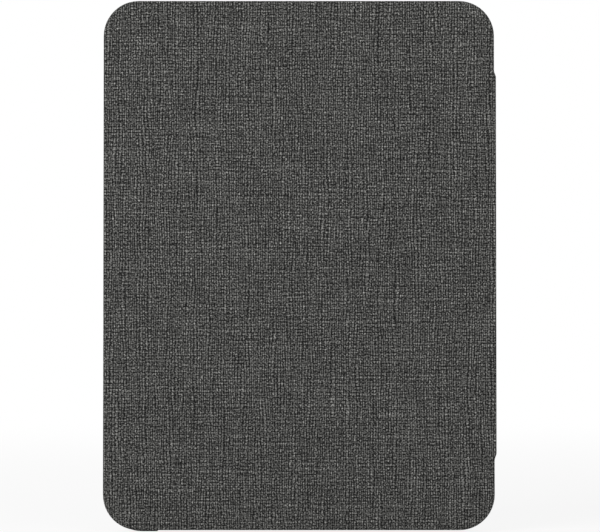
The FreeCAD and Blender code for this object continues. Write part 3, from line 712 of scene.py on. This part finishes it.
def make_spine_sleeves():
    """Fabric of the spine in two pieces that meet in the middle of the strip: one goes from the cover's
    face round the first fold, the other over the second fold and the connector bar."""
    shape = bpy.context.scene.case_shape
    cover_low, cover_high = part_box("cover_fabric")
    strip_low, strip_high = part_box("spine_fabric")
    bar_low, bar_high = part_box("connector_fabric")
    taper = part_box("spine_core")[0].z - strip_low.z
    heights = spine_heights(strip_low.z, strip_high.z, taper)
    reach = spine_reach(heights, strip_low.z, strip_high.z, taper, cover_high.x, strip_high.x)
    meet = 0.5 * (strip_low.y + strip_high.y)
    inner = strip_low.x - 0.18 * MM
    face = cover_low.y
    seam = cover_high.x - shape.hem_reach
    radius = shape.fold_radius
    fold = next(joint for joint in frame["joints"] if joint["name"] == "spine_fold")["pos_m"][1]

    def fold_section(outer):
        """Outer side along the face, round a quarter circle and down the strip, and inner side back up."""
        turn = np.linspace(-0.5 * math.pi, 0.0, 11)
        corner = np.column_stack([outer - radius + radius * np.cos(turn),
                                  face + radius + radius * np.sin(turn)])
        start = np.column_stack([np.linspace(seam, outer - radius, 6)[:-1], np.full(5, face)])
        down = np.column_stack([np.full(4, outer), np.linspace(face + radius, meet, 5)[1:]])
        under = np.array([(inner, meet), (inner, face + 1.4 * MM), (inner - 0.1 * MM, face + 0.75 * MM),
                          (inner - 0.4 * MM, face + 0.32 * MM), (seam, face + 0.28 * MM)])
        return np.concatenate([start, corner, down]), under

    def bar_section(outer):
        """Outer side down the strip and the bar, with a bell curve as the crease between them, and round the
        end in a quarter circle, and inner side back up."""
        end_radius = 0.5 * MM
        crease_width = 0.35 * MM
        run = np.concatenate([np.linspace(meet, fold - 1.0 * MM, 4),
                              np.linspace(fold - 0.8 * MM, fold + 0.8 * MM, 9),
                              np.linspace(fold + 1.4 * MM, bar_high.y - end_radius, 8)])
        crease = shape.crease_depth * np.exp(-((run - fold) / crease_width) ** 2)
        skin = np.column_stack([outer - crease, run])
        turn = np.linspace(0.0, 0.5 * math.pi, 6)[1:]
        end = np.column_stack([outer - end_radius * (1.0 - np.cos(turn)),
                               bar_high.y - end_radius * (1.0 - np.sin(turn))])
        under = bar_low.x + 0.98 * MM
        back = np.array([(under, bar_high.y), (under, bar_low.y + 0.05 * MM), (under, fold),
                         (under, fold - 0.15 * MM), (inner, fold - 0.35 * MM), (inner, meet)])
        return np.concatenate([skin, end]), back

    def sleeve(name, section, start):
        """One sleeve whose UV starts at a place across the strip, and the width of its outer side."""
        sides = [section(outer) for outer in reach]
        sections = [np.concatenate(pair) for pair in sides]
        lining = (len(sides[0][0]) - 1, len(sections[0]) - 1)
        runs = [run_lengths(part[:, 0], part[:, 1]) for part in sections]
        uv = np.array([np.column_stack([start + run, np.full(len(run), height)])
                       for run, height in zip(runs, heights)])
        piece = sleeve_piece(name, sections, heights, uv, lining)
        return piece, runs[len(runs) // 2][lining[0]]

    spine, spine_width = sleeve("spine_skin", fold_section, seam)
    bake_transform(spine)
    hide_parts("spine_fabric")
    bar, bar_width = sleeve("connector_skin", bar_section, seam + spine_width)
    fold - 0.5 * MM
    fold + 0.5 * MM
    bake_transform(bar)
    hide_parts("connector_fabric")


def ray_stops(low, high, radii, centre):
    """Shares along each straight side of a rounded rectangle where rays from a point, at even turns, meet
    the side. The ray's length is the lesser of the distances to an upright and to a level side."""
    ray_count = 96
    first_turn = 0.01
    clear = 0.004
    turn = np.linspace(0.0, 2.0 * math.pi, ray_count, endpoint=False) + first_turn
    way = np.column_stack([np.cos(turn), np.sin(turn)])
    room = np.where(way > 0, np.array(high) - centre, np.array(centre) - low) / np.abs(way)
    hits = centre + way * room.min(axis=1)[:, None]
    level = room[:, 1] < room[:, 0]
    sides = [(level & (way[:, 1] < 0), 0, low[0] + radii[0], high[0] - radii[1]),
             (~level & (way[:, 0] > 0), 1, low[1] + radii[1], high[1] - radii[2]),
             (level & (way[:, 1] > 0), 0, high[0] - radii[2], low[0] + radii[3]),
             (~level & (way[:, 0] < 0), 1, high[1] - radii[3], low[1] + radii[0])]
    stops = []
    for chosen, axis, start, end in sides:
        shares = np.sort((hits[chosen, axis] - start) / (end - start))
        stops.append(shares[(shares > clear) & (shares < 1.0 - clear)])
    return stops


def window_edge(points, centre, half, corner):
    """Points of a rounded square in the directions of the given points from its centre. Along the straight
    sides the distance is the half width over the larger direction number; at a corner it is where the ray
    leaves the corner's circle."""
    way = points - centre
    way = way / np.linalg.norm(way, axis=1)[:, None]
    straight = half / np.abs(way).max(axis=1)
    inner = half - corner
    along = np.abs(way).sum(axis=1) * inner
    turned = along + np.sqrt(np.maximum(along ** 2 - 2.0 * inner ** 2 + corner ** 2, 0.0))
    at_corner = straight * np.abs(way).min(axis=1) > inner
    return centre + way * np.where(at_corner, turned, straight)[:, None]


def window_panel(low, high, radii, insets, depths, face, inward, back):
    """Rows of a skin with a hole for the camera window. Its sides are divided where rays from the window's
    centre meet them."""
    ring_low, ring_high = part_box("camera_ring")
    gap = 0.02 * MM
    corner = 9.0 * MM
    half = 0.5 * (ring_high.x - ring_low.x) + gap
    centre = np.array([0.5 * (ring_low.x + ring_high.x), 0.5 * (ring_low.z + ring_high.z)])
    corners = (low.x, low.z), (high.x, high.z)
    outline = partial(rounded_outline, *corners, radii, stops=ray_stops(*corners, radii, centre))
    hole = window_edge(outline(insets[0]), centre, half, corner)
    return skin_rows(outline, insets, depths, face, inward, back, hole)


def make_back_skin():
    """Fabric of the back's fixed half: a panel with two large corners and a hole for the camera window."""
    low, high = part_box("back_fabric")
    wall = high.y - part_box("back_panel")[1].y
    depth = high.y - low.y
    hinge_corner = 1.2 * MM
    radii = (BACK_CORNER, hinge_corner, hinge_corner, BACK_CORNER)
    insets, depths = edge_profile(*BACK_ROLL, side=depth)
    rows, uv = window_panel(low, high, radii, insets, depths, high.y, -1, [(wall, depth), (wall, wall)])
    sheet_piece("back_skin", "linen_fabric", rows, uv, "back_fabric", "case",
                "ring")


def stand_outline(low, high, corner, shrink):
    """Outline of the kickstand as a function of an inset: square at the hinge, round at its free corners,
    with a finger notch that is part of a circle in its free edge. Shrink widens the notch."""
    square = 0.1 * MM
    radii = (square, corner, corner, square)
    notch_radius = 14.0 * MM
    notch_depth = 3.0 * MM
    notch_reach = 11.0 * MM
    middle = 0.5 * (low.z + high.z)
    notch_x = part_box("kickstand_fabric")[1].x - notch_depth + notch_radius
    straight = (low.z + corner, high.z - corner)
    notch_places = np.linspace(middle - notch_reach, middle + notch_reach, 23)
    stops = [even_stops()] * 4
    stops[1] = (notch_places - straight[0]) / (straight[1] - straight[0])

    def outline(inset):
        """Rounded outline, drawn back to the notch's circle where that lies further in."""
        flat = rounded_outline((low.x, low.z), (high.x, high.z), radii, inset, stops)
        room = (notch_radius + shrink + inset) ** 2 - (flat[:, 1] - middle) ** 2
        edge = notch_x - np.sqrt(np.maximum(room, 0.0))
        flat[:, 0] = np.where(room > 0, np.minimum(flat[:, 0], edge), flat[:, 0])
        return flat

    return outline


def make_stand_skins():
    """Fabric over the kickstand's outside and the lining on its inside."""
    low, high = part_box("kickstand_fabric")
    depth = high.y - low.y
    wall = 0.6 * MM
    insets, depths = edge_profile(*BACK_ROLL, side=depth)
    rows, uv = skin_rows(stand_outline(low, high, BACK_CORNER, 0.0), insets, depths, high.y, -1,
                         [(wall, depth), (wall, wall)])
    sheet_piece("stand_skin", "linen_fabric", rows, uv, "kickstand_fabric", "kickstand")
    low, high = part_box("kickstand_lining")
    lining_corner = 14.9 * MM
    insets, depths = edge_profile(width=0.25 * MM, depth=0.2 * MM, count=4)
    rows, uv = skin_rows(stand_outline(low, high, lining_corner, wall), insets, depths, low.y, 1,
                         [(0.0, high.y - low.y)])
    sheet_piece("stand_lining", "soft_lining", rows, uv, "kickstand_lining", "kickstand")


def make_bay_lining():
    """Brushed lining that the tablet's back lies on, with a hole for the camera window."""
    low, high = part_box("tray_lining")
    bay_corner = 14.15 * MM
    insets, depths = edge_profile(width=0.25 * MM, depth=0.15 * MM, count=4)
    rows, uv = window_panel(low, high, (bay_corner,) * 4, insets, depths, low.y, 1, [(0.0, high.y - low.y)])
    sheet_piece("bay_lining", "soft_lining", rows, uv, "tray_lining", "case", ends="ring")


# Keys

def cap_places(node):
    """Low and high corner of a key node's box, where each cap starts along the row, and a cap's width."""
    low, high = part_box(node)
    count = len(LEGENDS[node])
    gap = bpy.context.scene.case_shape.key_gap
    width = (high.z - low.z - gap * (count - 1)) / count
    starts = low.z + np.arange(count) * (width + gap)
    return low, high, starts, width


def cap_rows(low, high, width):
    """Rows of one cap: a drafted side, a rounded top edge as a quarter circle, and a top whose hollow is
    the dish depth times one less the square of the share from middle to edge."""
    dish = bpy.context.scene.case_shape.cap_dish
    draft = 0.22 * MM
    edge_radius = 0.3 * MM
    foot = 0.1 * MM
    foot_inset = 0.05 * MM
    corner = 1.8 * MM
    corners = (low.x, low.z), (high.x, low.z + width)
    turn = np.linspace(0.0, 0.5 * math.pi, 5)
    insets = np.concatenate([[foot_inset, 0.0], draft + edge_radius * (1.0 - np.cos(turn))])
    heights = np.concatenate([[low.y, low.y + foot], high.y - edge_radius * (1.0 - np.sin(turn))])
    rows = [in_space(rounded_outline(*corners, (corner,) * 4, inset, [np.array([0.5])] * 4, 6), height)
            for inset, height in zip(insets, heights)]
    rim = rows[-1]
    middle = rim.mean(axis=0)
    for share in (0.75, 0.4):
        ring = middle + (rim - middle) * share
        ring[:, 1] = high.y - dish * (1.0 - share * share)
        rows.append(ring)
    return np.array(rows)


def row_piece(name, slot, body, rows, ends, shifts):
    """One closed shape copied to each shift, as a single mesh that rides on a body."""
    unit, unit_faces = closed_shape(rows, ends)
    points = (unit[None] + shifts[:, None]).reshape(-1, 3)
    faces = [[corner + len(unit) * number for corner in face]
             for number in range(len(shifts)) for face in unit_faces]
    piece = new_piece(name, points, faces, [slot])
    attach(piece, body)
    return piece


def make_key_caps():
    """Caps of every key node, one mesh for each node."""
    for node in LEGENDS:
        low, high, starts, width = cap_places(node)
        shifts = np.column_stack([np.zeros((len(starts), 2)), starts - low.z])
        rows = cap_rows(low, high, width)
        piece = row_piece(node + "_cap", "key_plastic", node + "_press", rows, "points", shifts)
        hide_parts(node)


def dome_rows(floor, top):
    """Rows of one dome about the upright axis through the origin: the radius falls from foot to top along
    half a cosine wave while the height rises evenly."""
    foot_radius = 2.5 * MM
    top_radius = 1.3 * MM
    share = np.linspace(0.0, 1.0, 7)[:, None]
    turn = np.linspace(0.0, 2.0 * math.pi, 24, endpoint=False)
    radius = top_radius + (foot_radius - top_radius) * 0.5 * (1.0 + np.cos(math.pi * share))
    height = np.broadcast_to(floor + (top - floor) * share, (len(share), len(turn)))
    return np.stack([radius * np.cos(turn), height, radius * np.sin(turn)], axis=-1)


def make_key_domes():
    """Silicone sheet with a dome under each cap. A key's domes are a piece of their own, which leaves a
    little room under the cap."""
    sheet_low, sheet_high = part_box("rubber_domes")
    thickness = 0.2 * MM
    corner = 0.5 * MM
    floor = sheet_low.y + thickness
    flat = rounded_outline((sheet_low.x, sheet_low.z), (sheet_high.x, sheet_high.z), (corner,) * 4)
    rows = np.array([in_space(flat, sheet_low.y), in_space(flat, floor)])
    sheet = row_piece("dome_sheet", "dome_rubber", "keyboard", rows, "faces", np.zeros((1, 3)))
    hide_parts("rubber_domes")
    rows = dome_rows(floor, sheet_high.y)
    for node in LEGENDS:
        low, high, starts, width = cap_places(node)
        middle = np.full(len(starts), 0.5 * (low.x + high.x))
        shifts = np.column_stack([middle, np.zeros(len(starts)), starts + 0.5 * width])
        piece = row_piece(node + "_dome", "dome_rubber", "keyboard", rows, "faces", shifts)
        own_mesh(piece)


def word_shape(text, size, depth):
    """Points and triangles of a centred word in its own plane, thickened to both sides by the depth."""
    curve = bpy.data.curves.new("legend", "FONT")
    curve.body = text
    curve.size = size
    curve.align_x = "CENTER"
    curve.align_y = "CENTER"
    curve.resolution_u = 2
    curve.extrude = depth
    holder = bpy.data.objects.new("legend", curve)
    mesh = bpy.data.meshes.new_from_object(holder)
    mesh.calc_loop_triangles()
    points = np.empty(len(mesh.vertices) * 3, dtype=np.float32)
    mesh.vertices.foreach_get("co", points)
    triangles = np.empty(len(mesh.loop_triangles) * 3, dtype=np.int32)
    mesh.loop_triangles.foreach_get("vertices", triangles)
    bpy.data.objects.remove(holder)
    bpy.data.curves.remove(curve)
    bpy.data.meshes.remove(mesh)
    return points.reshape(-1, 3).astype(float), triangles.reshape(-1, 3)


def arrow_shape(turn, size, depth):
    """Points and triangles of a thick triangle that points along a turn in its own plane."""
    angles = turn + np.array([0.0, 2.0, 4.0]) * math.pi / 3.0
    flat = 0.5 * size * np.column_stack([np.cos(angles), np.sin(angles)])
    points = np.concatenate([np.column_stack([flat, np.full(3, side)]) for side in (depth, -depth)])
    triangles = np.array([(0, 1, 2), (3, 5, 4), (0, 3, 4), (0, 4, 1),
                          (1, 4, 5), (1, 5, 2), (2, 5, 3), (2, 3, 0)])
    return points, triangles


def legend_shape(text):
    """Shape of a legend at its type size: single letters large, pairs smaller, words smallest."""
    shape = bpy.context.scene.case_shape
    depth = 0.04 * MM
    arrow_share = 0.6
    pair_share = 0.72
    if text in ARROW_TURNS:
        return arrow_shape(ARROW_TURNS[text], arrow_share * shape.word_size, depth)
    if len(text) == 1:
        return word_shape(text, shape.letter_size, depth)
    if "\n" in text:
        return word_shape(text, pair_share * shape.letter_size, depth)
    return word_shape(text, shape.word_size, depth)


def make_key_legends():
    """Printed legends: across the word is along the row, up the word is towards the spine."""
    sunk = 0.03 * MM
    for node, legends in LEGENDS.items():
        low, high, starts, width = cap_places(node)
        all_points, all_triangles, count = [], [], 0
        for text, start in zip(legends, starts):
            if not text:
                continue
            points, triangles = legend_shape(text)
            all_points.append(np.column_stack([0.5 * (low.x + high.x) + points[:, 1],
                                               high.y - sunk + points[:, 2],
                                               start + 0.5 * width + points[:, 0]]))
            all_triangles.append(triangles + count)
            count += len(points)
        if not all_points:
            continue
        faces = np.concatenate(all_triangles).tolist()
        piece = new_piece(node + "_legend", np.concatenate(all_points), faces, ["ink"])
        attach(piece, node + "_press")


# Stage

def add_camera(stage):
    """Long lens that looks squarely at the cover's face from slightly below its middle."""
    data = bpy.data.cameras.new("camera")
    data.sensor_width = 36.0
    data.lens = data.sensor_width * stage.camera_distance / stage.view_width
    camera = bpy.data.objects.new("camera", data)
    aim = Vector((stage.aim[0], CAD_LOW.y, stage.aim[1]))
    camera.location = aim + Vector((0.0, -stage.camera_distance, -stage.camera_drop))
    camera.rotation_euler = (aim - camera.location).to_track_quat("-Z", "Y").to_euler()
    bpy.context.scene.collection.objects.link(camera)
    bpy.context.scene.camera = camera


def add_lamp(name, place, size, power):
    """Large square lamp aimed at the middle of the case."""
    data = bpy.data.lights.new(name, "AREA")
    data.size = size
    data.energy = power
    lamp = bpy.data.objects.new(name, data)
    lamp.location = place
    middle = 0.5 * (CAD_LOW + CAD_HIGH)
    lamp.rotation_euler = (middle - lamp.location).to_track_quat("-Z", "Y").to_euler()
    lamp.visible_camera = False
    bpy.context.scene.collection.objects.link(lamp)


def seen_directly(graph):
    """One for rays from the camera and for mirrored or refracted ones, and zero for other light."""
    rays = [graph.node("ShaderNodeLightPath", output=name)
            for name in ("Is Camera Ray", "Is Glossy Ray", "Is Transmission Ray")]
    return graph.math("MAXIMUM", graph.math("MAXIMUM", rays[0], rays[1]), rays[2])


def add_floor():
    """Wide pale disc under the case, which keeps a soft shadow near it and is plain white further off."""
    radius = 40.0
    turn = np.linspace(0.0, 2.0 * math.pi, 97)[:-1]
    ring = np.column_stack([radius * np.cos(turn), radius * np.sin(turn), np.zeros(len(turn))])
    mesh = bpy.data.meshes.new("floor")
    mesh.from_pydata(ring, [], [list(range(len(ring)))])
    material, graph = new_graph("pale_floor")
    lit = graph.node("ShaderNodeBsdfDiffuse", inputs={"Color": grey(0.85)})
    white = graph.node("ShaderNodeEmission", inputs={"Color": grey(1.0), "Strength": 1.0})
    distance = graph.node("ShaderNodeVectorMath", {"operation": "LENGTH"}, {0: graph.place()}, output="Value")
    near, away = 0.3, 1.0
    white_near, white_away = 0.87, 1.0
    far = graph.node("ShaderNodeMapRange", {"interpolation_type": "SMOOTHSTEP"},
                     {"Value": distance, "From Min": near, "From Max": away,
                      "To Min": white_near, "To Max": white_away})
    mixed = graph.node("ShaderNodeMixShader", inputs={0: seen_directly(graph) * far, 1: lit, 2: white})
    graph.node("ShaderNodeOutputMaterial", inputs={"Surface": mixed})
    mesh.materials.append(material)
    floor = bpy.data.objects.new("floor", mesh)
    bpy.context.scene.collection.objects.link(floor)


def add_sky(strength):
    """Even light from all round that looks white where it is seen directly."""
    world = bpy.data.worlds.new("sky")
    world.use_nodes = True
    bpy.context.scene.world = world
    graph = Graph(world.node_tree)
    direct = seen_directly(graph)
    shine = direct * (1.0 - strength) + strength
    sky = graph.node("ShaderNodeBackground", inputs={"Color": grey(1.0), "Strength": shine})
    graph.node("ShaderNodeOutputWorld", inputs={"Surface": sky})


# Operators

class CASE_OT_cover_skin(bpy.types.Operator):
    """Wrap the keyboard cover in its woven fabric"""
    bl_idname = "tablet_case.cover_skin"
    bl_label = "Cover fabric"

    def execute(self, context):
        make_cover_skin()
        return {"FINISHED"}


class CASE_OT_spine_sleeves(bpy.types.Operator):
    """Make the fabric of the folding spine and the connector bar"""
    bl_idname = "tablet_case.spine_sleeves"
    bl_label = "Spine fabric"

    def execute(self, context):
        make_spine_sleeves()
        return {"FINISHED"}


class CASE_OT_back_skins(bpy.types.Operator):
    """Make the fabric of the back and of the kickstand"""
    bl_idname = "tablet_case.back_skins"
    bl_label = "Back fabric"

    def execute(self, context):
        make_back_skin()
        make_stand_skins()
        return {"FINISHED"}


class CASE_OT_bay_lining(bpy.types.Operator):
    """Line the tablet bay"""
    bl_idname = "tablet_case.bay_lining"
    bl_label = "Bay lining"

    def execute(self, context):
        make_bay_lining()
        return {"FINISHED"}


class CASE_OT_key_caps(bpy.types.Operator):
    """Make the caps of every key"""
    bl_idname = "tablet_case.key_caps"
    bl_label = "Key caps"

    def execute(self, context):
        make_key_caps()
        return {"FINISHED"}


class CASE_OT_key_domes(bpy.types.Operator):
    """Make the dome sheet under the keys"""
    bl_idname = "tablet_case.key_domes"
    bl_label = "Key domes"

    def execute(self, context):
        make_key_domes()
        return {"FINISHED"}


class CASE_OT_key_legends(bpy.types.Operator):
    """Print the legends on the caps"""
    bl_idname = "tablet_case.key_legends"
    bl_label = "Key legends"

    def execute(self, context):
        make_key_legends()
        return {"FINISHED"}


class CASE_OT_node_finishes(bpy.types.Operator):
    """Give every carried-over piece the finish of its slot"""
    bl_idname = "tablet_case.node_finishes"
    bl_label = "Finishes"

    def execute(self, context):
        for subpart in frame["record"]["subparts"]:
            node = frame["nodes"][subpart["node"]]
            node.data.materials.clear()
            node.data.materials.append(finish_for(subpart["material_slot"]))
        return {"FINISHED"}


class CASE_OT_stage(bpy.types.Operator):
    """Set up the camera, the lamps, the floor and the white surroundings"""
    bl_idname = "tablet_case.stage"
    bl_label = "Stage"

    def execute(self, context):
        stage = context.scene.case_stage
        lamp_size = 1.2
        add_camera(stage)
        add_lamp("key_lamp", (-1.4, -1.25, 1.05), lamp_size, stage.key_power)
        add_lamp("fill_lamp", (1.4, -1.3, 0.6), lamp_size, stage.fill_power)
        add_lamp("back_lamp", (-0.6, 1.7, 1.0), lamp_size, stage.back_power)
        add_floor()
        add_sky(stage.sky)
        context.scene.view_settings.view_transform = "Standard"
        return {"FINISHED"}


class CASE_PT_panel(bpy.types.Panel):
    """Lists the steps that dress the case"""
    bl_label = "Tablet case"
    bl_idname = "CASE_PT_panel"
    bl_space_type = "VIEW_3D"
    bl_region_type = "UI"
    bl_category = "Tablet case"

    def draw(self, context):
        for operator in OPERATORS:
            self.layout.operator(operator.bl_idname)
        for group, settings in SETTINGS.items():
            for name in settings.__annotations__:
                self.layout.prop(getattr(context.scene, group), name)


SETTINGS = {"case_weave": WeaveSettings, "case_colours": ColourSettings, "case_shape": ShapeSettings,
            "case_stage": StageSettings}
OPERATORS = (CASE_OT_cover_skin, CASE_OT_spine_sleeves, CASE_OT_back_skins, CASE_OT_bay_lining,
             CASE_OT_key_caps, CASE_OT_key_domes, CASE_OT_key_legends, CASE_OT_node_finishes,
             CASE_OT_stage)


def register():
    """Adds the settings, the operators and the panel."""
    for name, group in SETTINGS.items():
        bpy.utils.register_class(group)
        setattr(bpy.types.Scene, name, bpy.props.PointerProperty(type=group))
    for operator in OPERATORS:
        bpy.utils.register_class(operator)
    bpy.utils.register_class(CASE_PT_panel)


def unregister():
    """Takes them out again."""
    bpy.utils.unregister_class(CASE_PT_panel)
    for operator in reversed(OPERATORS):
        bpy.utils.unregister_class(operator)
    for name, group in SETTINGS.items():
        delattr(bpy.types.Scene, name)
        bpy.utils.unregister_class(group)


def main():
    """Dresses the case."""
    register()
    for operator in OPERATORS:
        group, name = operator.bl_idname.split(".")
        getattr(getattr(bpy.ops, group), name)()


if __name__ == "__main__":
    main()
